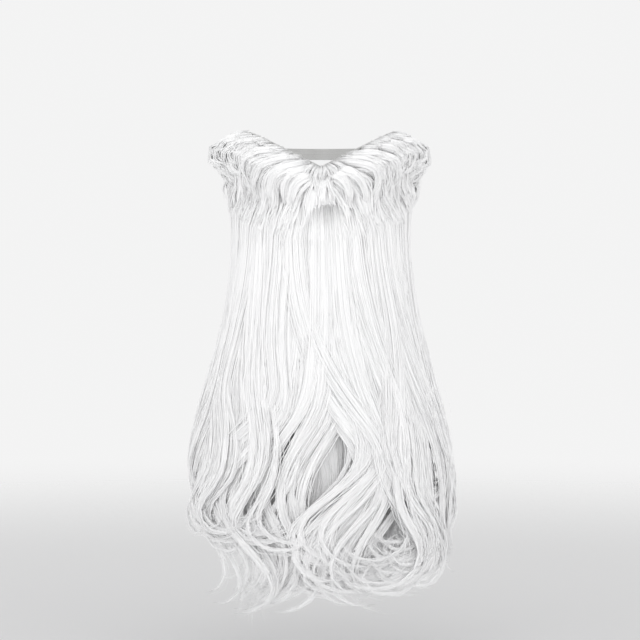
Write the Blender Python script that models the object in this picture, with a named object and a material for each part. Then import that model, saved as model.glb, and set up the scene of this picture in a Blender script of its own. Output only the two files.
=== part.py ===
"""A long false beard with its moustache, as it hangs when it is worn.

A knitted base follows the face from ear to ear, with a slit for the mouth. Three rows of hair are
sewn on it: a lower row round the jaw, an upper row over it, and the short moustache along the top
edge, in a half for each side. An elastic strap joins the two ends of the base behind the head.

The wearer looks along -Y, and +X is on the wearer's left. The origin is the point of the upper lip
that the base rests on. Lengths are in metres.
"""

import math
from collections import namedtuple

import bmesh
import bpy

# The face that the base fits
FACE_HALF_WIDTH = 0.073
JAW_HALF_WIDTH = 0.064
FACE_DEPTH = 0.095
CHIN_SETBACK = 0.006
BACK_OF_HEAD = 0.094

# The knitted base
BASE_WALL = 0.002
BASE_END_DEG = 92.0
LIP_EDGE = 0.004
EAR_EDGE = 0.042
CHIN_EDGE = -0.062
EAR_LOWER_EDGE = 0.004
BASE_COLUMNS = 36
BASE_ROWS = 7
MOUTH_HEIGHT = -0.016
MOUTH_HALF_WIDTH = 0.027
MOUTH_OPENING = 0.011

# The elastic strap
STRAP_WIDTH = 0.012
STRAP_WALL = 0.0012
STRAP_HEIGHT = 0.023
STRAP_SEWN_DEG = 10.0
STRAP_SECTIONS = 44

# The hair
BEARD_LENGTH = 0.392
BEARD_HALF_WIDTH = 0.100
FALL_SETBACK = 0.012
SEAM_GAP = 0.0008
LAYER_GAP = 0.0015
LOWER_DEPTH = 0.017
UPPER_DEPTH = 0.021
SIDE_THINNING = 0.42
MOUSTACHE_DEPTH = 0.022
MOUSTACHE_LENGTH = 0.074
MOUSTACHE_CLEARANCE = 0.007
MOUSTACHE_CLEAR_HEIGHT = 0.006
MOUSTACHE_RISE_HEIGHT = 0.042
MOUSTACHE_RISE = 1.3 * UPPER_DEPTH
UPPER_RISE_HEIGHT = 0.035
LOWER_RISE_HEIGHT = 0.020
LOCK_WIDTH = 0.036
MOUSTACHE_LOCK_WIDTH = 0.022
HEAD_STRIP_HEIGHT = 0.009
HEAD_STRIP_DEPTH = 0.005
HEAD_STRIP_STEP = 0.008
LOCK_STAGGER = 0.0007
LOCK_STATIONS = 11
MOUSTACHE_STATIONS = 8

ARC_RADIUS = (FACE_HALF_WIDTH + FACE_DEPTH) / 2
BASE_END = ARC_RADIUS * math.radians(BASE_END_DEG)

# The rows' heights on the base, as shares of its height there
LOWER_SEAM = 0.10
UPPER_SEAM = 0.42
MOUSTACHE_SEAM = 0.90

# How far the rows reach towards the ears, and the moustache's parting, as shares like a lock's root
LOWER_REACH = 0.84
UPPER_REACH = 0.95
MOUSTACHE_REACH = 0.96
PARTING = 0.012

WHITE_FIBRE = (0.90, 0.90, 0.91, 1.0)
WHITE_KNIT = (0.84, 0.83, 0.82, 1.0)
WHITE_ELASTIC = (0.80, 0.80, 0.80, 1.0)

# root: place along the base, from -1 at the right ear to 1 at the left ear
# length and width: shares of the row's lock length and lock width
# top to tip: the way the lock heads at HEADING_PLACES along it, in degrees from straight down,
# towards +X
# lift: how far the tip stands out, as a share of the row's depth
Lock = namedtuple("Lock", "root length width top upper middle lower wave end curl tip lift")
HEADING_PLACES = (0.0, 0.23, 0.42, 0.54, 0.66, 0.77, 0.88, 1.0)

UPPER_LOCKS = (
    Lock(-0.82, 0.84, 1.05, 0, 0, -6, 14, -18, -34, 20, 60, 0.5),
    Lock(-0.69, 0.82, 1.00, 0, -4, -6, -16, -44, -6, 40, 70, 0.5),
    Lock(-0.54, 1.04, 1.15, 0, -6, -6, 26, -2, -48, 0, 60, 0.3),
    Lock(-0.40, 1.02, 1.05, 0, 2, 4, 14, -6, -34, 20, 60, 0.1),
    Lock(-0.26, 1.10, 1.05, 0, -2, 10, -44, -26, 34, 20, -50, 0.4),
    Lock(-0.15, 1.10, 1.05, -4, 10, 24, 36, -2, -38, -10, 60, 0.2),
    Lock(-0.02, 1.10, 0.95, 0, 0, -4, -36, -8, 24, -10, -50, 0.0),
    Lock(0.09, 1.08, 1.00, 0, 2, 12, 12, -34, -40, 20, 60, 0.3),
    Lock(0.22, 1.08, 1.05, 0, 8, 14, -2, -4, 34, 0, -60, 0.4),
    Lock(0.35, 1.04, 1.05, 0, 6, -4, -10, 16, 36, -20, -60, 0.2),
    Lock(0.48, 1.02, 1.10, 0, 4, 12, 14, 0, -20, -10, 40, 0.4),
    Lock(0.61, 0.96, 1.05, 0, 6, 12, 4, -10, 30, -30, -60, 0.4),
    Lock(0.72, 0.90, 1.00, 0, 0, 8, -8, 14, 34, -20, -60, 0.5),
    Lock(0.83, 0.84, 1.00, 0, 0, 6, -14, 18, 34, -20, -60, 0.5),
)

LOWER_LOCKS = (
    Lock(-0.76, 0.78, 1.05, 0, 0, 4, -4, 6, -8, 10, 40, 0.0),
    Lock(-0.60, 0.86, 1.10, 0, 0, -4, 6, -8, 10, 20, 50, 0.0),
    Lock(-0.44, 0.94, 1.10, 0, 2, 4, -8, 10, -10, -20, -50, 0.0),
    Lock(-0.26, 1.00, 1.10, 0, -2, -4, 8, -10, 10, 20, 50, 0.0),
    Lock(-0.08, 1.04, 1.05, 0, 2, 4, -8, 10, -10, -20, -50, 0.0),
    Lock(0.10, 1.02, 1.05, 0, -2, -4, 8, -10, 10, 20, 50, 0.0),
    Lock(0.28, 1.00, 1.10, 0, 2, 4, -8, 10, -8, -20, -50, 0.0),
    Lock(0.45, 0.96, 1.10, 0, -2, -4, 8, -8, 10, 20, 50, 0.0),
    Lock(0.61, 0.88, 1.10, 0, 0, 4, -6, 8, -8, -20, -50, 0.0),
    Lock(0.76, 0.80, 1.05, 0, 0, -4, 4, -6, 8, -10, -40, 0.0),
)

# These are for the wearer's left half, and the right half mirrors them
MOUSTACHE_LOCKS = (
    Lock(0.065, 0.84, 0.60, 14, 12, 10, 8, 6, 4, 6, 10, 0.0),
    Lock(0.12, 1.02, 0.75, 70, 58, 38, 22, 12, 10, 14, 20, 0.0),
    Lock(0.18, 1.12, 0.95, 92, 80, 54, 28, 14, 14, 24, 38, 0.0),
    Lock(0.28, 0.98, 0.95, 88, 76, 52, 28, 16, 16, 26, 36, 0.0),
    Lock(0.40, 0.82, 0.95, 78, 68, 46, 24, 14, 14, 24, 34, 0.0),
    Lock(0.53, 0.76, 0.95, 70, 60, 36, 14, 0, -8, -16, -28, 0.0),
    Lock(0.66, 0.74, 0.95, 70, 56, 26, -2, -16, -32, -48, -60, 0.0),
    Lock(0.79, 0.70, 0.95, 66, 48, 14, -16, -32, -44, -58, -70, 0.0),
    Lock(0.91, 0.64, 0.90, 52, 36, 4, -20, -34, -46, -58, -70, 0.0),
)


def eased(share):
    """0 below 0, 1 above 1, and a smooth step between them."""
    share = min(max(share, 0.0), 1.0)
    return share * share * (3 - 2 * share)


def along(place, *steps):
    """The value at a place, eased between steps of (place, value) in rising order."""
    for (start, low), (end, high) in zip(steps, steps[1:]):
        if place < end:
            return low + (high - low) * eased((place - start) / (end - start))
    return steps[-1][1]


def half_width(z):
    """The half-width inside the hair: the face, the jaw, and then the fall as it spreads."""
    return along(
        -z,
        (0.0, FACE_HALF_WIDTH),
        (-CHIN_EDGE, JAW_HALF_WIDTH),
        (-CHIN_EDGE + 0.62 * BEARD_LENGTH, BEARD_HALF_WIDTH),
    )


def front_depth(z):
    """How far the inside of the hair lies in front of the ear line."""
    chin = FACE_DEPTH - CHIN_SETBACK
    return along(
        -z,
        (-0.45 * CHIN_EDGE, FACE_DEPTH),
        (-CHIN_EDGE, chin),
        (-CHIN_EDGE + 0.10 * BEARD_LENGTH, chin),
        (-CHIN_EDGE + 0.30 * BEARD_LENGTH, FACE_DEPTH - FALL_SETBACK),
    )


def radius(z):
    """The mean radius of the inside of the hair."""
    return (half_width(z) + front_depth(z)) / 2


def on_surface(u, z, out):
    """The point at arc u from the middle of the face and height z, a distance out from the skin."""
    turn = u / ARC_RADIUS
    across = (half_width(z) + out) * math.sin(turn)
    forward = (front_depth(z) + out) * math.cos(turn)
    return across, FACE_DEPTH - forward, z


def top_edge(u):
    """The base's upper edge, which climbs from the lip to the ear."""
    return LIP_EDGE + (EAR_EDGE - LIP_EDGE) * abs(math.sin(u / ARC_RADIUS))


def bottom_edge(u):
    """The base's lower edge: under the chin, along the jaw, then up to the ear."""
    return CHIN_EDGE + (EAR_LOWER_EDGE - CHIN_EDGE) * (abs(u) / BASE_END) ** 4


def on_base(u, share):
    """The height at a share of the base's own height."""
    return bottom_edge(u) + share * (top_edge(u) - bottom_edge(u))


def coloured(name, colour, roughness):
    material = bpy.data.materials.new(name)
    material.use_nodes = True
    shader = material.node_tree.nodes["Principled BSDF"]
    shader.inputs["Base Color"].default_value = colour
    shader.inputs["Roughness"].default_value = roughness
    shader.inputs["Metallic"].default_value = 0.0
    material.diffuse_color = colour
    return material


def add_mesh(name, points, faces, material=None):
    mesh = bpy.data.meshes.new(name)
    mesh.from_pydata(points, [], faces)
    shell = bmesh.new()
    shell.from_mesh(mesh)
    bmesh.ops.triangulate(shell, faces=shell.faces)
    bmesh.ops.recalc_face_normals(shell, faces=shell.faces)
    shell.to_mesh(mesh)
    shell.free()
    solid = bpy.data.objects.new(name, mesh)
    bpy.context.scene.collection.objects.link(solid)
    if material:
        mesh.materials.append(material)
    return solid


def lofted(name, rings, material=None):
    """A closed solid through rings of points, each with as many corners, with a cap at each end."""
    corners = len(rings[0])
    faces = []
    for ring in range(len(rings) - 1):
        here, there = ring * corners, (ring + 1) * corners
        for corner in range(corners):
            after = (corner + 1) % corners
            faces.append((here + corner, here + after, there + after, there + corner))
    last = (len(rings) - 1) * corners
    faces.append(tuple(range(corners))[::-1])
    faces.append(tuple(last + corner for corner in range(corners)))
    points = [point for ring in rings for point in ring]
    return add_mesh(name, points, faces, material)


def combine(solid, others, operation):
    """Joins others to the solid, or cuts them from it, and removes them."""
    helpers = bpy.data.collections.new("helpers")
    bpy.context.scene.collection.children.link(helpers)
    for other in others:
        bpy.context.scene.collection.objects.unlink(other)
        helpers.objects.link(other)
    modifier = solid.modifiers.new("combine", "BOOLEAN")
    modifier.operation = operation
    modifier.operand_type = "COLLECTION"
    modifier.collection = helpers
    modifier.solver = "EXACT"
    bpy.context.view_layer.update()
    graph = bpy.context.evaluated_depsgraph_get()
    result = bpy.data.meshes.new_from_object(solid.evaluated_get(graph))
    solid.modifiers.clear()
    solid.data = result
    fill_voids(result)
    for other in others:
        bpy.data.objects.remove(other)
    bpy.data.collections.remove(helpers)
    return solid


def fill_voids(mesh):
    """Removes all but the outer surface, so that no pocket is left closed in between locks."""
    shell = bmesh.new()
    shell.from_mesh(mesh)
    left = set(shell.faces)
    surfaces = []
    while left:
        front = [left.pop()]
        surface = list(front)
        while front:
            near = {other for edge in front.pop().edges for other in edge.link_faces} & left
            left -= near
            front += near
            surface += near
        surfaces.append(surface)
    surfaces.sort(key=lambda surface: sum(face.calc_area() for face in surface))
    inner = [face for surface in surfaces[:-1] for face in surface]
    bmesh.ops.delete(shell, geom=inner, context="FACES")
    shell.to_mesh(mesh)
    shell.free()


def knitted_base(material):
    """The wall that lies on the face, with the slit that leaves the mouth free."""
    rings = []
    for column in range(BASE_COLUMNS + 1):
        u = BASE_END * (2 * column / BASE_COLUMNS - 1)
        heights = [on_base(u, row / BASE_ROWS) for row in range(BASE_ROWS + 1)]
        inner = [on_surface(u, z, 0.0) for z in heights]
        outer = [on_surface(u, z, BASE_WALL) for z in reversed(heights)]
        rings.append(inner + outer)
    base = lofted("net_base", rings, material)
    sides = 16
    slit = []
    for y in (-4 * BASE_WALL, 8 * BASE_WALL):
        ring = []
        for side in range(sides):
            turn = math.tau * side / sides
            across = MOUTH_HALF_WIDTH * math.cos(turn)
            ring.append((across, y, MOUTH_HEIGHT + MOUTH_OPENING / 2 * math.sin(turn)))
        slit.append(ring)
    return combine(base, [lofted("slit", slit)], "DIFFERENCE")


def elastic_strap(material):
    """A flat band, sewn inside one end of the base, round the back of the head, to the other."""
    start = math.radians(BASE_END_DEG - STRAP_SEWN_DEG)
    rings = []
    for section in range(STRAP_SECTIONS + 1):
        turn = start + (math.tau - 2 * start) * section / STRAP_SECTIONS
        reach = FACE_DEPTH if math.cos(turn) > 0 else BACK_OF_HEAD
        ring = []
        for inset, rise in ((0, -1), (0, 1), (1, 1), (1, -1)):
            out = -SEAM_GAP - inset * STRAP_WALL
            x = (FACE_HALF_WIDTH + out) * math.sin(turn)
            y = FACE_DEPTH - (reach + out) * math.cos(turn)
            ring.append((x, y, STRAP_HEIGHT + rise * STRAP_WIDTH / 2))
        rings.append(ring)
    return lofted("elastic_strap", rings, material)


def fullness(u, thinning=SIDE_THINNING):
    """A row's share of its depth: the rows of the fall are thinner towards the ears."""
    return 1 - thinning * (u / BASE_END) ** 2


def lower_inside(u, z):
    """The lower row lies close over the base below its seam."""
    below = on_base(u, LOWER_SEAM) - HEAD_STRIP_HEIGHT / 2 - z
    return BASE_WALL + SEAM_GAP + LAYER_GAP * eased(below / LOWER_RISE_HEIGHT)


def upper_inside(u, z):
    """The upper row leaves the base at its seam and passes over the lower row."""
    below = on_base(u, UPPER_SEAM) - HEAD_STRIP_HEIGHT / 2 - z
    over = LOWER_DEPTH * fullness(u) + 2 * LAYER_GAP
    return BASE_WALL + SEAM_GAP + over * eased(below / UPPER_RISE_HEIGHT)


def moustache_inside(u, z):
    """The moustache leaves the base at its seam, clears the mouth and lies over the upper row."""
    below = on_base(u, MOUSTACHE_SEAM) - HEAD_STRIP_HEIGHT / 2 - z
    clear = MOUSTACHE_CLEARANCE * eased(below / MOUSTACHE_CLEAR_HEIGHT)
    rise = MOUSTACHE_RISE * fullness(u) - MOUSTACHE_CLEARANCE
    over = rise * eased((below - MOUSTACHE_CLEAR_HEIGHT) / MOUSTACHE_RISE_HEIGHT)
    return BASE_WALL + SEAM_GAP + clear + over


def heading(lock, share):
    """The direction of a lock at a share of its length, in radians from straight down."""
    turns = (lock.top, lock.upper, lock.middle, lock.lower, lock.wave, lock.end, lock.curl, lock.tip)
    place = max(i for i in range(len(turns) - 1) if HEADING_PLACES[i] <= share)
    part = (share - HEADING_PLACES[place]) / (HEADING_PLACES[place + 1] - HEADING_PLACES[place])
    return math.radians(turns[place] + part * (turns[place + 1] - turns[place]))


def lock_rings(lock, seam, length, width, depth, thinning, stations, inside, side=1):
    """Rings of a domed strip that follows the lock, set off so that its chords clear what is inside."""
    u, z = BASE_END * lock.root, on_base(BASE_END * lock.root, seam)
    step = length * lock.length / (stations - 1)
    rings = []
    for station in range(stations):
        share = station / (stations - 1)
        turn = heading(lock, share)
        if station:
            u += step * math.sin(turn) * ARC_RADIUS / radius(z)
            z -= step * math.cos(turn)
        half = width * lock.width / 2
        half *= along(share, (0, 0.80), (0.25, 1), (0.55, 0.90), (0.80, 0.62), (1, 0.30))
        thick = depth * along(share, (0, 0.25), (0.22, 1), (0.72, 0.92), (1, 0.20))
        lift = depth * lock.lift * eased((share - 0.40) / 0.45)
        chord = half**2 / (8 * half_width(z))
        ring = []
        for across, crest in ((-1, 0), (-0.5, 0.9), (0.5, 0.9), (1, 0), (0, 0)):
            arc = u + across * half * math.cos(turn) * ARC_RADIUS / radius(z)
            height = z + across * half * math.sin(turn)
            out = inside(arc, height) + chord + lift + crest * thick * fullness(arc, thinning)
            ring.append(on_surface(side * arc, height, out))
        rings.append(ring)
    return rings


def head_strip(name, seam, start, end, material):
    """The sewn head of a row, along its seam from one arc to another."""
    sections = round(abs(end - start) / HEAD_STRIP_STEP)
    rings = []
    for section in range(sections + 1):
        u = start + (end - start) * section / sections
        middle = on_base(u, seam)
        ring = []
        for out, rise in ((0, -1), (0, 1), (1, 0.8), (1, -0.8)):
            z = middle + rise * HEAD_STRIP_HEIGHT / 2
            ring.append(on_surface(u, z, BASE_WALL + SEAM_GAP + out * HEAD_STRIP_DEPTH))
        rings.append(ring)
    return lofted(name, rings, material)


def fused_row(name, seam, span, locks, shape, material, side=1):
    """A row of locks fused to its sewn head. Each lock stands out a little from those beside it."""
    row = head_strip(name, seam, side * span[0] * BASE_END, side * span[1] * BASE_END, material)
    strips = []
    for place, lock in enumerate(locks):
        stagger = LOCK_STAGGER * (2 * place % 5)

        def inside(u, z, stagger=stagger):
            return shape["inside"](u, z) + stagger

        rings = lock_rings(
            lock, seam, shape["length"], shape["width"], shape["depth"] - stagger,
            shape["thinning"], shape["stations"], inside, side,
        )
        strips.append(lofted("lock", rings))
    return combine(row, strips, "UNION")


def main():
    for old in list(bpy.data.objects):
        bpy.data.objects.remove(old)
    fibre = coloured("white_fibre", WHITE_FIBRE, 0.45)
    knitted_base(coloured("white_knit", WHITE_KNIT, 0.85))
    elastic_strap(coloured("white_elastic", WHITE_ELASTIC, 0.75))
    fall = {
        "length": BEARD_LENGTH,
        "width": LOCK_WIDTH,
        "thinning": SIDE_THINNING,
        "stations": LOCK_STATIONS,
    }
    lower = {**fall, "depth": LOWER_DEPTH - LAYER_GAP, "inside": lower_inside}
    fused_row("lower_row", LOWER_SEAM, (-LOWER_REACH, LOWER_REACH), LOWER_LOCKS, lower, fibre)
    upper = {**fall, "depth": UPPER_DEPTH - LAYER_GAP, "inside": upper_inside}
    fused_row("upper_row", UPPER_SEAM, (-UPPER_REACH, UPPER_REACH), UPPER_LOCKS, upper, fibre)
    moustache = {
        "length": MOUSTACHE_LENGTH,
        "width": MOUSTACHE_LOCK_WIDTH,
        "depth": MOUSTACHE_DEPTH,
        "thinning": 0.0,
        "stations": MOUSTACHE_STATIONS,
        "inside": moustache_inside,
    }
    for name, side in (("moustache_left", 1), ("moustache_right", -1)):
        span = (PARTING, MOUSTACHE_REACH)
        fused_row(name, MOUSTACHE_SEAM, span, MOUSTACHE_LOCKS, moustache, fibre, side)


main()
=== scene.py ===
"""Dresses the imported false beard: knitted base, elastic strap, two rows of wavy hair and moustache."""

import math
from collections import namedtuple

import bpy
import numpy as np
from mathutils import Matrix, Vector


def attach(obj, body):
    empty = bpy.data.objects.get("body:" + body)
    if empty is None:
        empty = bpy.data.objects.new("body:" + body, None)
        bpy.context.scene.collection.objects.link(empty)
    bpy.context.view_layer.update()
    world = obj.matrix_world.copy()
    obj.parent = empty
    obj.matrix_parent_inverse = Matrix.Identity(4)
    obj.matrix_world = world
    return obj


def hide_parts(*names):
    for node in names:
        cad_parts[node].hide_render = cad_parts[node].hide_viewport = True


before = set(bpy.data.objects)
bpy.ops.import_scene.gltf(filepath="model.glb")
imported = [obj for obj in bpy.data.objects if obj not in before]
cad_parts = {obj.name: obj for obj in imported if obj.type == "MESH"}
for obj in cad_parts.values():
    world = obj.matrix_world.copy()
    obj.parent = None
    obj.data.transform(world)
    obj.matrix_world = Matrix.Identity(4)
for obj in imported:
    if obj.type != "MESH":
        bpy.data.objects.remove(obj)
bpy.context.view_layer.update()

# The camera stands straight in front of the beard, two degrees above its middle. A pixel of the picture
# is a millimetre at the middle of the beard.
CAMERA_DISTANCE = 2.6
CAMERA_ELEVATION_DEG = 2.0
PICTURE_WIDTH = 0.640
PICTURE_CENTRE = Vector((-0.001, -0.012, -0.148))

camera_data = bpy.data.cameras.new("camera")
camera_data.sensor_width = 36.0
camera_data.lens = camera_data.sensor_width * CAMERA_DISTANCE / PICTURE_WIDTH
camera = bpy.data.objects.new("camera", camera_data)
elevation = math.radians(CAMERA_ELEVATION_DEG)
camera.location = PICTURE_CENTRE + CAMERA_DISTANCE * Vector((0, -math.cos(elevation), math.sin(elevation)))
camera.rotation_euler = (math.radians(90 - CAMERA_ELEVATION_DEG), 0, 0)
bpy.context.scene.collection.objects.link(camera)
bpy.context.scene.camera = camera

# Net base: the knitted face piece that all the hair is sewn on. It is one layer of white polyester
# knit, cut to follow the upper lip, cheeks and jaw, with a bound edge all round and round the slit for
# the mouth, and zigzag seams where the rows of hair are sewn through it.
FACE_HALF_WIDTH = 0.073
JAW_HALF_WIDTH = 0.064
FACE_DEPTH = 0.095
CHIN_SETBACK = 0.006
BASE_WALL = 0.002
BASE_END_DEG = 92.0
LIP_EDGE = 0.004
EAR_EDGE = 0.042
CHIN_EDGE = -0.062
EAR_LOWER_EDGE = 0.004
BEARD_LENGTH = 0.392
BEARD_HALF_WIDTH = 0.100
FALL_SETBACK = 0.012
MOUTH_HEIGHT = -0.016
MOUTH_HALF_WIDTH = 0.027
MOUTH_OPENING = 0.011
BASE_COLUMNS = 150
BASE_ROWS = 36
BINDING_RADIUS = 0.0015
BINDING_POINTS = 161
SLIT_POINTS = 64
END_POINTS = 17
THREAD_RADIUS = 0.00028
STITCH_LENGTH = 0.0024
ZIGZAG_HEIGHT = 0.0022
LOWER_SEAM = 0.10
UPPER_SEAM = 0.42
MOUSTACHE_SEAM = 0.90
ARC_RADIUS = (FACE_HALF_WIDTH + FACE_DEPTH) / 2
BASE_END = ARC_RADIUS * math.radians(BASE_END_DEG)


def eased(share):
    share = np.clip(share, 0.0, 1.0)
    return share * share * (3 - 2 * share)


def along(place, *steps):
    """The value at each place, eased between steps of (place, value) in rising order."""
    place = np.asarray(place, float)
    value = np.full(place.shape, float(steps[0][1]))
    for (start, low), (end, high) in zip(steps, steps[1:]):
        value = np.where(place > start, low + (high - low) * eased((place - start) / (end - start)), value)
    return value


def half_width(z):
    return along(
        -z,
        (0.0, FACE_HALF_WIDTH),
        (-CHIN_EDGE, JAW_HALF_WIDTH),
        (-CHIN_EDGE + 0.62 * BEARD_LENGTH, BEARD_HALF_WIDTH),
    )


def front_depth(z):
    chin = FACE_DEPTH - CHIN_SETBACK
    return along(
        -z,
        (-0.45 * CHIN_EDGE, FACE_DEPTH),
        (-CHIN_EDGE, chin),
        (-CHIN_EDGE + 0.10 * BEARD_LENGTH, chin),
        (-CHIN_EDGE + 0.30 * BEARD_LENGTH, FACE_DEPTH - FALL_SETBACK),
    )


def radius(z):
    return (half_width(z) + front_depth(z)) / 2


def on_surface(u, z, out):
    """The points at arc u from the middle of the face and height z, a distance out from the skin."""
    turn = u / ARC_RADIUS
    across = (half_width(z) + out) * np.sin(turn)
    forward = (front_depth(z) + out) * np.cos(turn)
    return np.stack([across, FACE_DEPTH - forward, z + 0 * u], axis=-1)


def top_edge(u):
    return LIP_EDGE + (EAR_EDGE - LIP_EDGE) * np.abs(np.sin(u / ARC_RADIUS))


def bottom_edge(u):
    return CHIN_EDGE + (EAR_LOWER_EDGE - CHIN_EDGE) * (np.abs(u) / BASE_END) ** 4


def on_base(u, share):
    return bottom_edge(u) + share * (top_edge(u) - bottom_edge(u))


def knit_loops():
    """A node group that gives the height of a plain knit's loops from a place in metres."""
    group = bpy.data.node_groups.new("knit_loops", "ShaderNodeTree")
    group.interface.new_socket("Vector", in_out="INPUT", socket_type="NodeSocketVector")
    for name, value in (("Column Width", 0.0013), ("Row Height", 0.0011)):
        socket = group.interface.new_socket(name, in_out="INPUT", socket_type="NodeSocketFloat")
        socket.default_value = value
    group.interface.new_socket("Height", in_out="OUTPUT", socket_type="NodeSocketFloat")
    nodes, links = group.nodes, group.links
    given = nodes.new("NodeGroupInput")
    result = nodes.new("NodeGroupOutput")
    split = nodes.new("ShaderNodeSeparateXYZ")
    links.new(given.outputs["Vector"], split.inputs["Vector"])

    def math_node(operation, first, second=None):
        node = nodes.new("ShaderNodeMath")
        node.operation = operation
        for socket, value in zip(node.inputs, (first, second)):
            if isinstance(value, (int, float)):
                socket.default_value = value
            elif value is not None:
                links.new(value, socket)
        return node.outputs["Value"]

    columns = math_node("DIVIDE", split.outputs["X"], given.outputs["Column Width"])
    column = math_node("PINGPONG", columns, 0.5)
    row = math_node("DIVIDE", split.outputs["Y"], given.outputs["Row Height"])
    slanted = math_node("ADD", row, math_node("MULTIPLY", column, 1.2))
    loops = math_node("SINE", math_node("MULTIPLY", slanted, math.tau))
    legs = math_node("SINE", math_node("MULTIPLY", column, math.tau))
    height = math_node("MULTIPLY", math_node("ADD", loops, 1.4), legs)
    links.new(math_node("MULTIPLY", height, 0.4), result.inputs["Height"])
    return group


def knit_with_painted_shade(name, colour, place_map, depth):
    """A white knitted finish on the piece's own UV map, which holds places in metres. Its colour is partly
    painted shade, darker in the grooves between the knit's loops, under a random cloud of paler and darker
    tone.
    """
    material = bpy.data.materials.new(name)
    material.use_nodes = True
    nodes, links = material.node_tree.nodes, material.node_tree.links
    shader = nodes["Principled BSDF"]
    place = nodes.new("ShaderNodeUVMap")
    place.uv_map = place_map
    loops = nodes.new("ShaderNodeGroup")
    loops.node_tree = knit
    cloud = nodes.new("ShaderNodeTexNoise")
    cloud.inputs["Scale"].default_value = 60.0
    # Painted shade: the ramp darkens the low places between the loops to 0.55 of the colour, and the cloud
    # adds random tone.
    ramp = nodes.new("ShaderNodeValToRGB")
    ramp.color_ramp.elements[0].color = (colour * 0.55, colour * 0.55, colour * 0.54, 1)
    ramp.color_ramp.elements[1].color = (colour, colour, colour * 0.99, 1)
    cloud_and_groove_shade = nodes.new("ShaderNodeMath")
    cloud_and_groove_shade.operation = "MULTIPLY_ADD"
    cloud_and_groove_shade.inputs[1].default_value = 0.25
    bump = nodes.new("ShaderNodeBump")
    bump.inputs["Strength"].default_value = 0.8
    bump.inputs["Distance"].default_value = depth
    links.new(place.outputs["UV"], loops.inputs["Vector"])
    links.new(place.outputs["UV"], cloud.inputs["Vector"])
    links.new(cloud.outputs["Fac"], cloud_and_groove_shade.inputs[0])
    links.new(loops.outputs["Height"], cloud_and_groove_shade.inputs[2])
    links.new(cloud_and_groove_shade.outputs["Value"], ramp.inputs["Fac"])
    links.new(ramp.outputs["Color"], shader.inputs["Base Color"])
    links.new(loops.outputs["Height"], bump.inputs["Height"])
    links.new(bump.outputs["Normal"], shader.inputs["Normal"])
    shader.inputs["Roughness"].default_value = 0.85
    shader.inputs["Sheen Weight"].default_value = 0.25
    return material


knit = knit_loops()
# Both knits carry painted shade in the grooves between their loops.
white_knit = knit_with_painted_shade("white_knit", 0.86, "cloth", 0.0006)
binding_knit = knit_with_painted_shade("binding_knit", 0.88, "UVMap", 0.0003)
thread = bpy.data.materials.new("sewing_thread")
thread.use_nodes = True
thread_nodes, thread_links = thread.node_tree.nodes, thread.node_tree.links
thread_shader = thread_nodes["Principled BSDF"]
# Painted shade: darker bands across the thread stand for the shade in the grooves of its twist.
thread_twist_shade = thread_nodes.new("ShaderNodeTexWave")
thread_twist_shade.inputs["Scale"].default_value = 900.0
thread_place = thread_nodes.new("ShaderNodeTexCoord")
thread_shade_ramp = thread_nodes.new("ShaderNodeValToRGB")
thread_shade_ramp.color_ramp.elements[0].color = (0.62, 0.62, 0.62, 1)
thread_shade_ramp.color_ramp.elements[1].color = (0.90, 0.90, 0.90, 1)
thread_links.new(thread_place.outputs["Object"], thread_twist_shade.inputs["Vector"])
thread_links.new(thread_twist_shade.outputs["Fac"], thread_shade_ramp.inputs["Fac"])
thread_links.new(thread_shade_ramp.outputs["Color"], thread_shader.inputs["Base Color"])
thread_shader.inputs["Roughness"].default_value = 0.5


def tube(name, points, radius_m, material, closed, roundness):
    """A round cord through the points, made as a curve and then turned into a mesh."""
    bpy.ops.object.select_all(action="DESELECT")
    curve = bpy.data.curves.new(name, "CURVE")
    curve.dimensions = "3D"
    curve.bevel_depth = radius_m
    curve.bevel_resolution = roundness
    curve.use_fill_caps = not closed
    spline = curve.splines.new("POLY")
    spline.points.add(len(points) - 1)
    spline.points.foreach_set("co", np.column_stack([points, np.ones(len(points))]).ravel())
    spline.use_cyclic_u = closed
    cord = bpy.data.objects.new(name, curve)
    bpy.context.scene.collection.objects.link(cord)
    cord.select_set(True)
    bpy.context.view_layer.objects.active = cord
    bpy.ops.object.convert(target="MESH")
    cord.data.materials.clear()
    cord.data.materials.append(material)
    bpy.ops.object.shade_smooth()
    return cord


bpy.ops.object.select_all(action="DESELECT")
bpy.ops.mesh.primitive_grid_add(x_subdivisions=BASE_COLUMNS, y_subdivisions=BASE_ROWS, size=2)
base = bpy.context.object
base.name = "knitted_base"
flat = np.empty(len(base.data.vertices) * 3)
base.data.vertices.foreach_get("co", flat)
flat = flat.reshape(-1, 3)
cloth_u = BASE_END * flat[:, 0]
cloth_z = on_base(cloth_u, (flat[:, 1] + 1) / 2)
slit_across = cloth_u / MOUTH_HALF_WIDTH
slit_up = (cloth_z - MOUTH_HEIGHT) / (MOUTH_OPENING / 2)
slit_share = np.hypot(slit_across, slit_up)
cloth = on_surface(cloth_u, cloth_z, 0.0)
base.data.vertices.foreach_set("co", cloth.ravel())
bpy.ops.object.mode_set(mode="EDIT")
bpy.ops.mesh.select_all(action="DESELECT")
bpy.ops.object.mode_set(mode="OBJECT")
for face in base.data.polygons:
    face.select = bool(np.mean(slit_share[list(face.vertices)]) < 1.0)
bpy.ops.object.mode_set(mode="EDIT")
bpy.ops.mesh.select_mode(type="FACE")
bpy.ops.mesh.delete(type="FACE")
bpy.ops.mesh.select_all(action="SELECT")
bpy.ops.mesh.normals_make_consistent(inside=False)
bpy.ops.object.mode_set(mode="OBJECT")
if sum(face.normal.y for face in base.data.polygons) > 0:
    base.data.flip_normals()
base.data.uv_layers.new(name="cloth")
place = np.empty(len(base.data.vertices) * 3)
base.data.vertices.foreach_get("co", place)
place = place.reshape(-1, 3)
forward = FACE_DEPTH - place[:, 1]
cloth_turn = np.arctan2(place[:, 0] / half_width(place[:, 2]), forward / front_depth(place[:, 2]))
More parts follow.
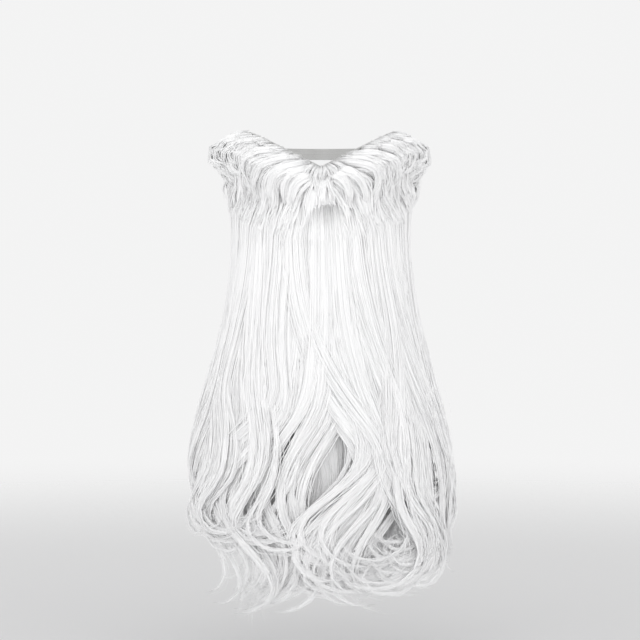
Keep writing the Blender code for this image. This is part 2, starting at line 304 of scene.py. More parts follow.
corners = np.array([loop.vertex_index for loop in base.data.loops])
base.data.uv_layers["cloth"].data.foreach_set(
    "uv", np.stack([ARC_RADIUS * cloth_turn[corners], place[corners, 2]], axis=1).ravel()
)
for map_name in [layer.name for layer in base.data.uv_layers if layer.name != "cloth"]:
    base.data.uv_layers.remove(base.data.uv_layers[map_name])
wall = base.modifiers.new("wall", "SOLIDIFY")
wall.thickness = BASE_WALL
wall.offset = 1
bpy.ops.object.modifier_apply(modifier="wall")
bpy.ops.object.shade_smooth_by_angle(angle=math.radians(50))
base.data.materials.append(white_knit)
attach(base, "root")
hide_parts("net_base")

across = np.linspace(-BASE_END, BASE_END, BINDING_POINTS)
ends = np.linspace(0.06, 0.94, END_POINTS)
end_u = np.full(END_POINTS, BASE_END)
outline_u = np.concatenate([across, end_u, across[::-1], -end_u])
outline_z = np.concatenate(
    [top_edge(across), on_base(BASE_END, ends[::-1]), bottom_edge(across), on_base(-BASE_END, ends)]
)
outline = on_surface(outline_u, outline_z, BASE_WALL / 2)
edge_binding = tube("edge_binding", outline, BINDING_RADIUS, binding_knit, True, 3)
round_slit = np.linspace(0, math.tau, SLIT_POINTS + 1)[:-1]
slit_u = MOUTH_HALF_WIDTH * np.cos(round_slit)
slit_z = MOUTH_HEIGHT + MOUTH_OPENING / 2 * np.sin(round_slit)
slit = on_surface(slit_u, slit_z, BASE_WALL / 2)
mouth_binding = tube("mouth_binding", slit, BINDING_RADIUS, binding_knit, True, 3)
for binding in (edge_binding, mouth_binding):
    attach(binding, "root")

for row_name, share, reach in (
    ("lower", LOWER_SEAM, 0.84), ("upper", UPPER_SEAM, 0.95), ("moustache", MOUSTACHE_SEAM, 0.96)
):
    stitches = int(2 * reach * BASE_END / STITCH_LENGTH)
    seam_u = np.linspace(-reach * BASE_END, reach * BASE_END, stitches + 1)
    zigzag = ZIGZAG_HEIGHT / 2 * (-1.0) ** np.arange(stitches + 1)
    seam = on_surface(seam_u, on_base(seam_u, share) + zigzag, -THREAD_RADIUS * 0.4)
    stitching = tube(f"{row_name}_row_seam", seam, THREAD_RADIUS, thread, False, 1)
    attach(stitching, "root")

# Elastic strap: flat braided white elastic, 12 mm wide, with lengthwise ribs. Each end lies inside an
# end of the base, where a box of zigzag stitches holds it.
STRAP_WIDTH = 0.012
STRAP_WALL = 0.0012
STRAP_HEIGHT = 0.023
STRAP_SEWN_DEG = 10.0
BACK_OF_HEAD = 0.094
SEAM_GAP = 0.0008
STRAP_SECTIONS = 80
STRAP_RIBS = 7
RIB_HEIGHT = 0.00022
TACK_POINTS = 13

sewn_turn = math.radians(BASE_END_DEG - STRAP_SEWN_DEG)
bpy.ops.object.select_all(action="DESELECT")
bpy.ops.mesh.primitive_grid_add(x_subdivisions=STRAP_SECTIONS, y_subdivisions=STRAP_RIBS * 4, size=2)
strap = bpy.context.object
strap.name = "ribbed_strap"
strap_mesh = strap.data
band = np.empty(len(strap_mesh.vertices) * 3)
strap_mesh.vertices.foreach_get("co", band)
band = band.reshape(-1, 3)
strap_turn = math.pi + band[:, 0] * (math.pi - sewn_turn)
strap_reach = np.where(np.cos(strap_turn) > 0, FACE_DEPTH, BACK_OF_HEAD)
rib_rise = RIB_HEIGHT * (np.abs(np.cos(band[:, 1] * STRAP_RIBS * math.pi / 2)) - 1)
strap_points = np.stack(
    [
        (FACE_HALF_WIDTH - SEAM_GAP + rib_rise) * np.sin(strap_turn),
        FACE_DEPTH - (strap_reach - SEAM_GAP + rib_rise) * np.cos(strap_turn),
        STRAP_HEIGHT + band[:, 1] * STRAP_WIDTH / 2,
    ],
    axis=-1,
)
strap_mesh.vertices.foreach_set("co", strap_points.ravel())
strap_mesh.update()
head_middle = Vector((0, FACE_DEPTH, STRAP_HEIGHT))
if sum(face.normal.dot(face.center - head_middle) for face in strap_mesh.polygons) < 0:
    strap_mesh.flip_normals()
strap_mesh.uv_layers[0].name = "cloth"
corners = np.array([loop.vertex_index for loop in strap_mesh.loops])
strap_run = ARC_RADIUS * strap_turn
strap_mesh.uv_layers["cloth"].data.foreach_set(
    "uv", np.stack([band[corners, 1] * STRAP_WIDTH / 2, strap_run[corners]], axis=1).ravel()
)
wall = strap.modifiers.new("wall", "SOLIDIFY")
wall.thickness = STRAP_WALL
wall.offset = -1
bpy.ops.object.modifier_apply(modifier="wall")
bpy.ops.object.shade_smooth_by_angle(angle=math.radians(50))
# The elastic carries the knit's painted shade, darker in the grooves between its loops.
white_elastic = knit_with_painted_shade("white_elastic", 0.84, "cloth", 0.0002)
strap_mesh.materials.append(white_elastic)
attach(strap, "root")
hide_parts("elastic_strap")

for side_name, side in (("left", 1), ("right", -1)):
    sewn = BASE_END - ARC_RADIUS * math.radians(STRAP_SEWN_DEG) * np.linspace(0.15, 0.85, TACK_POINTS)
    for number, (low, high) in enumerate(((-0.75, -0.35), (0.35, 0.75))):
        rise = np.where(np.arange(TACK_POINTS) % 2, low, high) * STRAP_WIDTH / 2
        line = on_surface(side * sewn, STRAP_HEIGHT + rise, -SEAM_GAP - STRAP_WALL - THREAD_RADIUS * 0.5)
        tack = tube(f"strap_stitches_{side_name}_{number + 1}", line, THREAD_RADIUS, thread, False, 1)
        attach(tack, "root")

# Lower row: long locks of white synthetic hair, sewn in a strip round the jaw. They give the fall its
# body and lie behind the row above. Each lock is a few wisps, and each wisp a flat band of hair with loose
# strands over it.
LOWER_DEPTH = 0.017
SIDE_THINNING = 0.42
LOCK_WIDTH = 0.036
SKIN_GAP = 0.001
COIL = 0.0022
COIL_TURNS = 1.5
FRIZZ = 0.0012
FRIZZ_CYCLES = 1.5
WISP_OVERLAP = 1.9
WISP_LEVEL_STRAY = 0.0011
BAND_OVERLAP = 1.25
BAND_SPREAD = 0.35
BAND_DOME = 0.52
BAND_SINK = 0.0009
BAND_SHORT = 0.08
STRAND_DOME = 0.8
STRAND_SINK = 0.0008
STRAND_SHORT = 0.16
STATIONS_CROWD = 0.78
LOCK_STRAYS_DEG = np.array([0.5, 1.0, 1.5, 2.0, 3.0, 4.5, 8.0, 18.0])

# A lock's root is where it is sewn, from -1 at the base's right end to 1 at its left. Its length and width
# are shares of its row's, and its lift is the share of the row's depth by which its end stands off. Its
# eight headings, from top to tip, are degrees from straight down, at HEADING_PLACES along its length.
Lock = namedtuple("Lock", "root length width top upper middle lower wave end curl tip lift")
HEADING_PLACES = (0.0, 0.23, 0.42, 0.54, 0.66, 0.77, 0.88, 1.0)

LOWER_LOCKS = (
    Lock(-0.76, 0.92, 1.50, 0, 0, 4, -4, 6, -8, 30, 140, 0.0),
    Lock(-0.60, 0.94, 1.45, 0, 0, -4, 6, -8, 10, 40, 160, 0.0),
    Lock(-0.44, 0.98, 1.20, 0, 2, 4, -8, 10, -10, -40, -150, 0.0),
    Lock(-0.26, 1.04, 1.20, 0, -2, -4, 8, -10, 10, 40, 160, 0.0),
    Lock(-0.08, 1.08, 1.15, 0, 2, 4, -8, 10, -10, -40, -160, 0.0),
    Lock(0.10, 1.06, 1.15, 0, -2, -4, 8, -10, 10, 40, 160, 0.0),
    Lock(0.28, 1.04, 1.20, 0, 2, 4, -8, 10, -8, -40, -160, 0.0),
    Lock(0.45, 1.00, 1.20, 0, -2, -4, 8, -8, 10, 40, 160, 0.0),
    Lock(0.61, 0.96, 1.45, 0, 0, 4, -6, 8, -8, -40, -150, 0.0),
    Lock(0.76, 0.95, 1.50, 0, 0, -4, 4, -6, 8, -30, -140, 0.0),
)


def fullness(u, row):
    """The share of a row's depth that is left at an arc, since hair thins out towards the ears."""
    return 1 - row.thinning * np.minimum(np.abs(u) / BASE_END, 1.1) ** 2


# Wisps hold places, headings, half widths and levels over what lies inside their row, one line for each
# wisp, with FINE steps along it.
Row = namedtuple("Row", "seam length width depth thinning inside")
Wisps = namedtuple("Wisps", "u z turn half level dome")
FINE = 161
LINE = np.linspace(0, 1, FINE)
LOOSENED = eased((LINE - 0.4) / 0.45)


def smooth_waves(random, count, cycles, size):
    """Smooth random waves over a strand's length, one line for each strand."""
    total = np.zeros((count, FINE))
    for order in (1, 2, 3):
        rate = cycles * order * random.uniform(0.75, 1.25, (count, 1))
        phase = random.uniform(0, math.tau, (count, 1))
        total += random.normal(0, size / order, (count, 1)) * np.sin(rate * math.tau * LINE + phase)
    return total


def smoothed(lines, window=11):
    kernel = np.ones(window) / window
    padded = np.pad(lines, ((0, 0), (window // 2, window // 2)), mode="edge")
    return np.stack([np.convolve(line, kernel, mode="valid") for line in padded])


def follow(start_u, start_z, turn, step):
    """Lines that start at the given places and follow their headings, measured from straight down."""
    u = np.empty(turn.shape)
    z = np.empty(turn.shape)
    u[:, 0], z[:, 0] = start_u, start_z
    for i in range(1, FINE):
        u[:, i] = u[:, i - 1] + step * np.sin(turn[:, i]) * ARC_RADIUS / radius(z[:, i - 1])
        z[:, i] = z[:, i - 1] - step * np.cos(turn[:, i])
    return u, z


def wisps_of(lock, row, count, stray, random):
    """A lock's wisps: each strays from the lock's own headings, more so towards its tip."""
    spread = np.linspace(-0.92, 0.92, count) + random.uniform(-0.05, 0.05, count)
    headings = np.array(lock[3:11], float)
    turns = headings + random.normal(0, 1, (count, len(headings))) * LOCK_STRAYS_DEG * stray
    turn = np.radians(smoothed(np.stack([np.interp(LINE, HEADING_PLACES, line) for line in turns])))
    spreading = along(LINE, (0, 0.9), (0.25, 1.05), (0.50, 0.95), (0.80, 0.68), (1, 0.55))
    half = row.width * lock.width / 2 * spreading
    step = row.length * lock.length * random.uniform(0.95, 1.02, count) / (FINE - 1)
    start = BASE_END * lock.root + spread * half[0]
    u, z = follow(start, on_base(start, row.seam), turn, step)
    shift = spread[:, None] * (half - half[0])
    u = u + shift * np.cos(turn) * ARC_RADIUS / radius(z)
    z = z + shift * np.sin(turn)
    wisp_half = half * WISP_OVERLAP / count * along(LINE, (0, 1.3), (0.45, 1.2), (0.8, 0.95), (1, 0.6))
    wisp_half = wisp_half * random.uniform(0.5, 1.7, (count, 1))
    thick = row.depth * along(LINE, (0, 0.45), (0.07, 0.95), (0.75, 0.95), (1, 0.6))
    arch = np.sqrt(1 - spread ** 2)[:, None]
    lift = row.depth * lock.lift * LOOSENED
    level = thick * (0.35 + 0.55 * arch) * fullness(u, row) + lift
    level = level + random.normal(0, WISP_LEVEL_STRAY, (count, 1)) * eased((LINE - 0.15) / 0.7)
    return Wisps(u, z, turn, np.broadcast_to(wisp_half, u.shape), level, 0.6)


def wisps_of_all(locks, row, count, stray, seed):
    randoms = [np.random.default_rng(seed + number) for number in range(len(locks))]
    return [wisps_of(lock, row, count, stray, random) for lock, random in zip(locks, randoms)]


def strands_of(wisps, row, each, stations, random, side, flat):
    """The middle lines of a wisp's strands, or of its flat bands, as (strand, station, xyz).

    Bands also come with their half widths. A band has no crown, because its own ridge domes it.
    """
    wisp_count = len(wisps.u)
    scale = 0.3 + 0.7 * (row.length / BEARD_LENGTH)
    twist = random.uniform(0, math.tau, (wisp_count, 1)) + math.tau * COIL_TURNS * LINE
    coil = COIL * scale * random.uniform(0.3, 1.6, (wisp_count, 1)) * LOOSENED
    count = wisp_count * each
    member = np.repeat(np.arange(wisp_count), each)
    half = wisps.half[member]
    own = random.uniform(-1, 1, (count, 1)) * (BAND_SPREAD if flat else 1.0)
    loose = 0.35 + random.exponential(0.65, (count, 1))
    frizz_size = 0.0 if flat else FRIZZ * scale
    grow = eased((LINE - 0.05) / 0.8)
    sideways = own * half + coil[member] * np.sin(twist[member])
    sideways = sideways + smooth_waves(random, count, FRIZZ_CYCLES, frizz_size) * loose * grow
    turn = wisps.turn[member]
    u = wisps.u[member] + sideways * np.cos(turn) * ARC_RADIUS / radius(wisps.z[member])
    z = wisps.z[member] + sideways * np.sin(turn)
    crown = 0.0 if flat else wisps.dome * half * np.sqrt(1 - np.minimum(own ** 2, 1))
    out = row.inside(u, z) + wisps.level[member] + crown + coil[member] * np.cos(twist[member])
    out = out + smooth_waves(random, count, FRIZZ_CYCLES, frizz_size * 0.6) * loose * grow
    out = out - (BAND_SINK if flat else random.uniform(0, STRAND_SINK, (count, 1)))
    fine = on_surface(u, z, np.maximum(out, BASE_WALL + SKIN_GAP / 2))
    fine[..., 0] *= side
    reach = 1.0 - (BAND_SHORT if flat else STRAND_SHORT) * random.beta(1.0, 2.4, count)
    index = np.linspace(0, 1, stations)[None, :] ** STATIONS_CROWD * reach[:, None] * (FINE - 1)
    low = np.minimum(index.astype(int), FINE - 2)
    part = index - low
    rows = np.arange(count)[:, None]
    lines = fine[rows, low] * (1 - part[..., None]) + fine[rows, low + 1] * part[..., None]
    widths = half[rows, low] * BAND_OVERLAP if flat else None
    return lines, widths


def add_strands(name, lines, half, dome, material):
    """One closed three-sided strand for each line. Its ridge rises by its dome times its half width."""
    count, stations, _ = lines.shape
    tangent = np.gradient(lines, axis=1)
    tangent /= np.linalg.norm(tangent, axis=2, keepdims=True) + 1e-12
    outward = lines - np.array([0, FACE_DEPTH, 0])
    outward[..., 2] = 0
    outward /= np.linalg.norm(outward, axis=2, keepdims=True)
    side = np.cross(tangent, outward)
    side /= np.linalg.norm(side, axis=2, keepdims=True) + 1e-12
    front = np.cross(side, tangent)
    half = half[..., None]
    ridge = lines + half * dome[:, None, None] * front
    points = np.stack([ridge, lines - half * side, lines + half * side], axis=2).reshape(-1, 3)
    here = np.arange(count)[:, None, None] * stations * 3 + np.arange(stations - 1)[None, :, None] * 3
    corner = np.arange(3)[None, None, :]
    after = (corner + 1) % 3
    quads = np.stack([here + corner, here + after, here + 3 + after, here + 3 + corner], axis=3)
    quads = quads.reshape(-1, 4)
    first = (np.arange(count) * stations * 3)[:, None] + np.array([2, 1, 0])
    last = (np.arange(count) * stations * 3 + (stations - 1) * 3)[:, None] + np.array([0, 1, 2])
    caps = np.concatenate([first, last])
    mesh = bpy.data.meshes.new(name)
    mesh.vertices.add(len(points))
    mesh.vertices.foreach_set("co", points.astype(np.float32).ravel())
    loops = np.concatenate([quads.ravel(), caps.ravel()]).astype(np.int32)
    mesh.loops.add(len(loops))
    mesh.loops.foreach_set("vertex_index", loops)
    sizes = np.concatenate([np.full(len(quads), 4), np.full(len(caps), 3)])
    mesh.polygons.add(len(sizes))
    mesh.polygons.foreach_set("loop_start", np.concatenate([[0], np.cumsum(sizes)[:-1]]).astype(np.int32))
    mesh.polygons.foreach_set("use_smooth", np.ones(len(sizes), bool))
    mesh.update(calc_edges=True)
    ends = np.empty(len(mesh.edges) * 2, np.int32)
    mesh.edges.foreach_get("vertices", ends)
    ends = ends.reshape(-1, 2) % 3
    sharp = mesh.attributes.new("sharp_edge", "BOOLEAN", "EDGE")
    sharp.data.foreach_set("value", (ends[:, 0] == ends[:, 1]) & (ends[:, 0] > 0))
    uv = mesh.uv_layers.new(name="strand")
    strand = loops // (stations * 3)
    station = (loops // 3) % stations
    across = np.array([0.5, 0.0, 1.0])[loops % 3]
    tint = np.random.default_rng(count).permutation(count) / count
    coords = np.stack([tint[strand] * 97 + across * 0.5, station / (stations - 1)], axis=1)
    uv.data.foreach_set("uv", coords.astype(np.float32).ravel())
    mesh.materials.append(material)
    strands = bpy.data.objects.new(name, mesh)
    bpy.context.scene.collection.objects.link(strands)
    return strands


def sew_hair(name, wisp_sets, row, bands, each, stations, strand_width, node, side=1, seed=1):
    """Joins the bands and loose strands of many locks' wisps into one piece of hair."""
    lines, halves, domes = [], [], []
    taper = along(np.linspace(0, 1, stations), (0, 0.7), (0.1, 1), (0.75, 0.85), (1, 0.15))
    for number, wisps in enumerate(wisp_sets):
        random = np.random.default_rng(seed * 1000 + number)
        state = random.bit_generator.state
        if bands:
            found, half = strands_of(wisps, row, bands, stations, random, side, True)
            lines.append(found)
            halves.append(half * taper)
            domes.append(np.full(len(found), BAND_DOME))
            random.bit_generator.state = state
        found, _ = strands_of(wisps, row, each, stations, random, side, False)
        lines.append(found)
        halves.append(random.uniform(0.6, 1.3, (len(found), 1)) * strand_width / 2 * taper)
        domes.append(np.full(len(found), STRAND_DOME))
    whole = [np.concatenate(part) for part in (lines, halves, domes)]
    piece = add_strands(name, *whole, white_fibre)
    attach(piece, "root")
    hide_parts(node)
    return piece


def hair_material(name):
    """White synthetic hair: pale streaks along each strand, a soft gloss, and a little depth."""
    material = bpy.data.materials.new(name)
    material.use_nodes = True
    nodes, links = material.node_tree.nodes, material.node_tree.links
    shader = nodes["Principled BSDF"]
    place = nodes.new("ShaderNodeUVMap")
    place.uv_map = "strand"
    stretch = nodes.new("ShaderNodeMapping")
    stretch.inputs["Scale"].default_value = (14.0, 2.0, 1.0)
    noise = nodes.new("ShaderNodeTexNoise")
    noise.inputs["Scale"].default_value = 1.0
    noise.inputs["Detail"].default_value = 3.0
    ramp = nodes.new("ShaderNodeValToRGB")
    ramp.color_ramp.elements[0].position = 0.3
    ramp.color_ramp.elements[1].position = 0.62
    ramp.color_ramp.elements[0].color = (0.90, 0.90, 0.905, 1)
    ramp.color_ramp.elements[1].color = (0.98, 0.98, 0.982, 1)
    bump = nodes.new("ShaderNodeBump")
    bump.inputs["Strength"].default_value = 0.3
    bump.inputs["Distance"].default_value = 0.0004
    links.new(place.outputs["UV"], stretch.inputs["Vector"])
    links.new(stretch.outputs["Vector"], noise.inputs["Vector"])
    links.new(noise.outputs["Fac"], ramp.inputs["Fac"])
    links.new(noise.outputs["Fac"], bump.inputs["Height"])
    links.new(ramp.outputs["Color"], shader.inputs["Base Color"])
    links.new(bump.outputs["Normal"], shader.inputs["Normal"])
    shader.inputs["Roughness"].default_value = 0.45
    shader.inputs["Specular IOR Level"].default_value = 0.4
    return material


def lower_inside(u, z):
    return BASE_WALL + SKIN_GAP + 0 * u


white_fibre = hair_material("white_fibre")
LOWER = Row(LOWER_SEAM, BEARD_LENGTH, LOCK_WIDTH, LOWER_DEPTH, SIDE_THINNING, lower_inside)
lower_wisps = wisps_of_all(LOWER_LOCKS, LOWER, count=8, stray=1.0, seed=100)
sew_hair(
    "under_fall",
    lower_wisps,
    LOWER,
    bands=2,
    each=6,
    stations=23,
    strand_width=0.0009,
    node="lower_row",
    seed=1,
)

# Ringlets: a few thin locks of the lower row, of the same synthetic hair. They are sewn in with it, coil
# at the ends and hang out below the fall.
RINGLETS = (
    Lock(-0.12, 1.06, 0.13, 0, 0, 4, -6, -4, 10, -40, -330, 0.6),
    Lock(-0.08, 1.08, 0.10, 0, 0, -4, -8, 4, -6, 30, 330, 0.8),
    Lock(-0.03, 1.04, 0.12, 0, 2, 2, 4, -10, -10, 30, 100, 0.6),
    Lock(0.03, 1.07, 0.10, 0, 2, 2, 4, -10, -10, 40, 90, 0.7),
    Lock(0.20, 1.08, 0.10, 0, 2, 6, 4, -10, -6, 50, 80, 0.7),
    Lock(0.24, 1.05, 0.06, 0, 4, 4, -6, 4, 10, 40, 90, 0.6),
    Lock(-0.30, 1.01, 0.08, 0, -2, 2, -8, -8, 10, -40, -130, 0.6),
    Lock(0.60, 0.94, 0.09, 0, 4, 10, 8, 4, 20, 70, 100, 0.9),
    Lock(-0.64, 0.93, 0.08, 0, -4, -8, -10, 0, -10, -60, -130, 0.9),
    Lock(-0.20, 1.06, 0.07, 0, 0, 2, -4, 6, -8, -30, 20, 0.6),
)
ringlet_wisps = wisps_of_all(RINGLETS, LOWER, count=2, stray=0.6, seed=400)
sew_hair(
    "fall_ringlets",
    ringlet_wisps,
    LOWER,
    bands=0,
    each=14,
    stations=34,
    strand_width=0.0006,
    node="lower_row",
    seed=12,
)

# Upper row: the locks that show, of the same hair, sewn below the mouth and over the cheeks. They hang
# straight at the top, swing in waves from half way down, and end in curls.
UPPER_DEPTH = 0.021
UPPER_RISE_HEIGHT = 0.035
SEAM_DROP = 0.0045

UPPER_LOCKS = (
    Lock(-0.82, 0.92, 1.05, 0, 0, 2, 6, -10, -16, 70, 220, 0.4),
    Lock(-0.69, 0.98, 1.20, 0, 0, -2, 4, -22, -20, 85, 240, 0.6),
    Lock(-0.54, 1.07, 1.20, 0, -6, -6, 26, -2, -44, 66, 240, 0.7),
    Lock(-0.40, 1.06, 1.10, 0, 2, 4, 14, -6, -32, 84, 250, 0.5),
    Lock(-0.26, 1.14, 1.05, 0, -2, 10, -44, -26, 34, 30, -80, 0.4),
    Lock(-0.15, 1.14, 1.10, -4, 10, 22, 28, -4, -36, -10, 130, 0.2),
    Lock(-0.02, 1.12, 1.15, 0, 0, -2, -26, -8, 22, -10, -90, 0.0),
    Lock(0.09, 1.12, 1.00, 0, 2, 12, 12, -34, -40, 40, 170, 0.3),
    Lock(0.22, 1.13, 1.05, 0, 8, 14, -2, -4, 34, -44, -230, 0.8),
    Lock(0.35, 1.10, 1.05, 0, 6, -4, -10, 16, 34, -76, -240, 0.6),
    Lock(0.48, 1.05, 1.10, 0, 4, 12, 14, 0, -20, 20, 110, 0.7),
    Lock(0.61, 1.03, 1.05, 0, 6, 12, 4, -10, 30, -86, -240, 0.7),
    Lock(0.72, 0.99, 1.25, 0, 0, 2, 0, 2, 16, -84, -240, 0.6),
    Lock(0.83, 0.92, 1.00, 0, 0, -2, -6, 10, 20, -70, -220, 0.4),
)


def upper_inside(u, z):
    below = on_base(u, UPPER_SEAM) - SEAM_DROP - z
    return BASE_WALL + SKIN_GAP + LOWER_DEPTH * fullness(u, LOWER) * eased(below / UPPER_RISE_HEIGHT)


UPPER = Row(UPPER_SEAM, BEARD_LENGTH, LOCK_WIDTH, UPPER_DEPTH, SIDE_THINNING, upper_inside)
upper_wisps = wisps_of_all(UPPER_LOCKS, UPPER, count=13, stray=1.0, seed=200)
for name, first, last in (
    ("fall_right", 0, 4), ("fall_middle_right", 4, 7), ("fall_middle_left", 7, 10), ("fall_left", 10, 14)
):
    sew_hair(
        name,
        upper_wisps[first:last],
        UPPER,
        bands=1,
        each=16,
        stations=24,
        strand_width=0.0008,
        node="upper_row",
        seed=2 + first,
    )

# Moustache: short locks of the same hair, sewn along the upper edge of the base in two halves. They sweep
# outwards along the edge and arch down, and loose short hair covers the edge itself.
MOUSTACHE_DEPTH = 0.022
MOUSTACHE_LENGTH = 0.074
MOUSTACHE_WIDTH = 0.022
MOUSTACHE_CLEARANCE = 0.007
CLEARANCE_HEIGHT = 0.006
MOUSTACHE_RISE = 0.0265
MOUSTACHE_RISE_HEIGHT = 0.040
MOUSTACHE_RISE_START = 0.0015
MOUSTACHE_DOME = 0.8
TUFTS = np.array([0.085, 0.18, 0.29, 0.42, 0.56, 0.70, 0.85])
WISP_STRAYS_DEG = np.array([8.0, 7.0, 8.0, 9.0, 10.0, 12.0, 16.0, 24.0])
TUFT_PULLS = np.array([0.0, 0.0, 0.4, 0.9, 1.0, 1.0, 0.8, 0.4])

# A layer's wisps start between two places along the edge and between two heights on the base. They stand
# off by shares of the moustache's depth, take a share of the sweeps' headings, and gather into tufts.
Layer = namedtuple("Layer", "count places seams longest width puff sweep gather stray")
BODY_LAYERS = (
    Layer(170, (0.03, 0.96), (0.76, 1.00), 1.00, 0.0052, (0.30, 1.05), 1.00, 300, 0.4),
    Layer(54, (-0.04, 0.93), (0.60, 0.88), 0.88, 0.0070, (0.00, 0.35), 0.25, 0, 0.5),
    Layer(44, (0.05, 0.95), (0.70, 0.92), 0.90, 0.0090, (0.25, 0.70), 1.00, 0, 0.3),
    Layer(22, (-0.05, 0.06), (0.70, 1.00), 0.85, 0.0036, (0.05, 0.35), 1.00, 0, 0.8),
)
EDGE_LAYER = Layer(70, (-0.03, 0.93), (0.97, 1.03), 0.45, 0.0046, (0.20, 0.70), 1.00, 0, 0.8)

# Sweeps give the length and headings of the hair at places along the edge, as a lock's do.
Sweep = namedtuple("Sweep", "root length top upper middle lower wave end curl tip")
SWEEPS = (
    Sweep(-0.01, 0.60, 2, 4, 6, 6, 4, 4, 4, 6),
    Sweep(0.04, 0.74, 56, 46, 28, 16, 10, 8, 12, 20),
    Sweep(0.085, 1.06, 84, 68, 42, 22, 12, 10, 14, 26),
    Sweep(0.14, 1.12, 94, 84, 58, 30, 14, 12, 24, 44),
    Sweep(0.21, 1.06, 96, 86, 60, 32, 16, 14, 28, 50),
    Sweep(0.31, 0.90, 96, 84, 56, 30, 16, 14, 26, 42),
    Sweep(0.42, 0.74, 96, 80, 48, 24, 12, 10, 20, 30),
    Sweep(0.54, 0.70, 98, 78, 40, 12, 0, -8, -16, -26),
    Sweep(0.66, 0.70, 98, 70, 24, -2, -14, -24, -40, -56),
    Sweep(0.78, 0.72, 92, 50, 10, -10, -18, -30, -48, -70),
    Sweep(0.90, 0.72, 70, 30, 0, -10, -16, -30, -50, -74),
)


def moustache_inside(u, z):
    clear = MOUSTACHE_CLEARANCE * eased((on_base(u, MOUSTACHE_SEAM) - SEAM_DROP - z) / CLEARANCE_HEIGHT)
    below = on_base(u, UPPER_SEAM) - z
    started = eased((below + MOUSTACHE_RISE_START) / MOUSTACHE_RISE_HEIGHT)
    over = MOUSTACHE_RISE * fullness(u, UPPER) * started
    return BASE_WALL + SKIN_GAP + clear + over


MOUSTACHE = Row(
    MOUSTACHE_SEAM,
    MOUSTACHE_LENGTH,
    MOUSTACHE_WIDTH,
    MOUSTACHE_DEPTH,
    thinning=0.0,
    inside=moustache_inside,
)


def moustache_wisps(layer, random):
    """A layer's wisps, scattered along the edge. Each takes its headings from the sweeps beside it."""
    count, places, seams, longest, width, puff, sweep, gather, stray = layer
    roots = np.sort(random.uniform(*places, count))
    table = np.array(SWEEPS)
    columns = [np.interp(roots, table[:, 0], column) for column in table.T]
    turns = np.stack(columns[2:], axis=1) * sweep
    turns = turns + random.normal(0, 1, turns.shape) * WISP_STRAYS_DEG * stray
    apart = roots - TUFTS[np.argmin(np.abs(roots[:, None] - TUFTS), axis=1)]
    turns = turns - gather * apart[:, None] * TUFT_PULLS
    turn = np.radians(smoothed(np.stack([np.interp(LINE, HEADING_PLACES, line) for line in turns])))
    length = 1 - sweep + columns[1] * sweep
    step = MOUSTACHE_LENGTH * length * longest * random.uniform(0.75, 1.05, count) / (FINE - 1)
    start = BASE_END * roots
    seam = random.uniform(*seams, count)
    u, z = follow(start, on_base(start, seam), turn, step)
    half = width / 2 * along(LINE, (0, 0.9), (0.5, 1.0), (1, 0.6)) * random.uniform(0.6, 1.4, (count, 1))
    height = (seam - seams[0]) / (seams[1] - seams[0])
    outer = eased((roots - 0.45) / 0.3)
    lumps = (0.90 + 0.14 * np.cos(math.tau * (roots * 3.2 - 0.15))) * (1 + 0.36 * outer)
    full = (puff[0] + (puff[1] - puff[0]) * height) * lumps * random.uniform(0.9, 1.1, count)
    outer = outer[:, None]
    inner_level = along(LINE, (0, 0.12), (0.30, 1.0), (0.65, 0.80), (1, 0.12))
    outer_level = along(LINE, (0, 0.12), (0.30, 1.0), (0.75, 0.98), (1, 0.40))
    level = full[:, None] * MOUSTACHE_DEPTH * (inner_level * (1 - outer) + outer_level * outer)
    return Wisps(u, z, turn, half, level, MOUSTACHE_DOME)


for number, (name, side) in enumerate((("left", 1), ("right", -1))):
    random = np.random.default_rng(500 + number)
    body = [moustache_wisps(layer, random) for layer in BODY_LAYERS]
    edge = [moustache_wisps(EDGE_LAYER, random)]
    node = f"moustache_{name}"
    for piece, wisp_sets, bands, stations, strand_width, seed in (
        ("hair", body, 1, 12, 0.0009, 20), ("edge", edge, 0, 9, 0.0006, 30)
    ):
        sew_hair(
            f"moustache_{piece}_{name}",
            wisp_sets,
            MOUSTACHE,
            bands,
            each=7,
            stations=stations,
            strand_width=strand_width,
            node=node,
            side=side,
            seed=seed + number,
        )

# Floor: a sheet of plain pale paper under the beard, a cut disc that only lies there. Its colour is
# painted shade, greyest under the beard and paling to the paper's own pale tone towards its rim, where it
# fades into the white of the studio.
FLOOR_HEIGHT = -0.50
FLOOR_RADIUS = 2.5
PAINTED_SHADE_RADIUS = 0.3
FADE_RADIUS = 0.9

bpy.ops.object.select_all(action="DESELECT")
bpy.ops.mesh.primitive_circle_add(
    vertices=96, radius=FLOOR_RADIUS, fill_type="NGON", location=(0, 0, FLOOR_HEIGHT)
)
floor = bpy.context.object
floor.name = "floor"
paper = bpy.data.materials.new("pale_paper")
paper.use_nodes = True
paper_nodes, paper_links = paper.node_tree.nodes, paper.node_tree.links
paper_place = paper_nodes.new("ShaderNodeTexCoord")
paper_reach = paper_nodes.new("ShaderNodeVectorMath")
paper_reach.operation = "LENGTH"
paper_share = paper_nodes.new("ShaderNodeMapRange")
paper_share.inputs["From Min"].default_value = PAINTED_SHADE_RADIUS
paper_share.inputs["From Max"].default_value = FLOOR_RADIUS
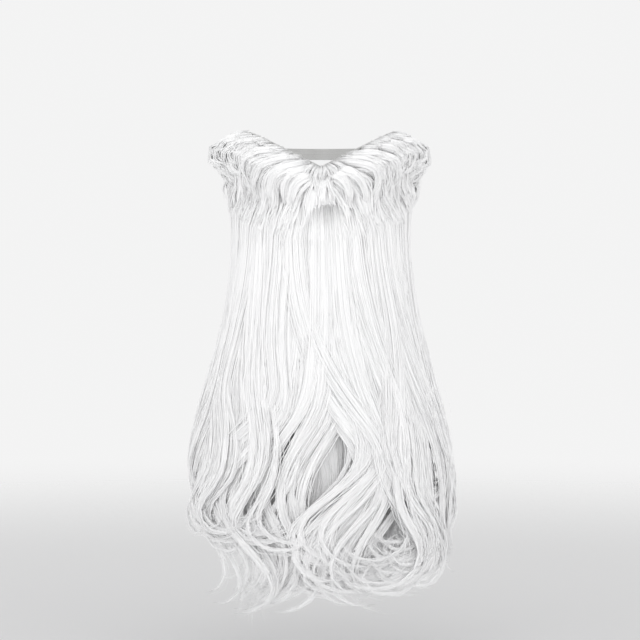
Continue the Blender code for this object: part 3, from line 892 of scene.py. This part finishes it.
# Painted shade: the paper is greyest within the shade radius under the beard and pales towards the rim.
paper_shade_ramp = paper_nodes.new("ShaderNodeValToRGB")
paper_shade_ramp.color_ramp.elements[0].color = (0.74, 0.74, 0.745, 1)
paper_shade_ramp.color_ramp.elements[1].color = (0.97, 0.97, 0.97, 1)
paper_links.new(paper_place.outputs["Object"], paper_reach.inputs[0])
paper_links.new(paper_reach.outputs["Value"], paper_share.inputs["Value"])
paper_links.new(paper_share.outputs["Result"], paper_shade_ramp.inputs["Fac"])
paper_links.new(paper_shade_ramp.outputs["Color"], paper_nodes["Principled BSDF"].inputs["Base Color"])
paper_nodes["Principled BSDF"].inputs["Roughness"].default_value = 0.9
paper_fade = paper_nodes.new("ShaderNodeMapRange")
paper_fade.interpolation_type = "SMOOTHSTEP"
paper_fade.inputs["From Min"].default_value = FADE_RADIUS
paper_fade.inputs["From Max"].default_value = FLOOR_RADIUS
paper_fade.inputs["To Min"].default_value = 1.0
paper_fade.inputs["To Max"].default_value = 0.0
paper_links.new(paper_reach.outputs["Value"], paper_fade.inputs["Value"])
paper_links.new(paper_fade.outputs["Result"], paper_nodes["Principled BSDF"].inputs["Alpha"])
floor.data.materials.append(paper)

# Studio: white walls all round, seen a little brighter behind the beard than they light it.
WALL_LIGHT = 0.76
WALL_SEEN = 0.90

world = bpy.data.worlds.new("studio")
world.use_nodes = True
world_nodes, world_links = world.node_tree.nodes, world.node_tree.links
room = world_nodes["Background"]
room.inputs["Color"].default_value = (1, 1, 1, 1)
room.inputs["Strength"].default_value = WALL_LIGHT
backdrop = world_nodes.new("ShaderNodeBackground")
backdrop.inputs["Color"].default_value = (1, 1, 1, 1)
backdrop.inputs["Strength"].default_value = WALL_SEEN
seen = world_nodes.new("ShaderNodeLightPath")
choose = world_nodes.new("ShaderNodeMixShader")
world_links.new(seen.outputs["Is Camera Ray"], choose.inputs["Fac"])
world_links.new(room.outputs["Background"], choose.inputs[1])
world_links.new(backdrop.outputs["Background"], choose.inputs[2])
world_links.new(choose.outputs["Shader"], world_nodes["World Output"].inputs["Surface"])
bpy.context.scene.world = world
bpy.context.scene.view_settings.view_transform = "Standard"


# Lights: five soft boxes of white cloth round the camera, one in front, one to each side, one above and a
# low strip for the ends of the hair.
def soft_box(name, place, target, size, power):
    """A rectangular light of a size in metres and a power in watts, turned to its target."""
    light = bpy.data.lights.new(name, "AREA")
    light.shape = "RECTANGLE"
    light.size, light.size_y = size
    light.energy = power
    lamp = bpy.data.objects.new(name, light)
    lamp.location = place
    lamp.rotation_euler = (Vector(target) - Vector(place)).to_track_quat("-Z", "Y").to_euler()
    bpy.context.scene.collection.objects.link(lamp)


soft_box("key", (-0.5, -2.3, 0.4), (0, 0, -0.2), (1.8, 1.8), 3)
soft_box("left_fill", (-2.0, -1.3, -0.1), (0, 0, -0.2), (1.4, 1.2), 9)
soft_box("right_fill", (2.0, -1.3, -0.1), (0, 0, -0.2), (1.4, 1.2), 9)
soft_box("top_fill", (0.0, -1.1, 1.5), (0, 0, 0.0), (1.6, 0.9), 6)
soft_box("low_fill", (0.0, -1.9, -0.42), (0, 0, -0.36), (1.8, 0.14), 5)
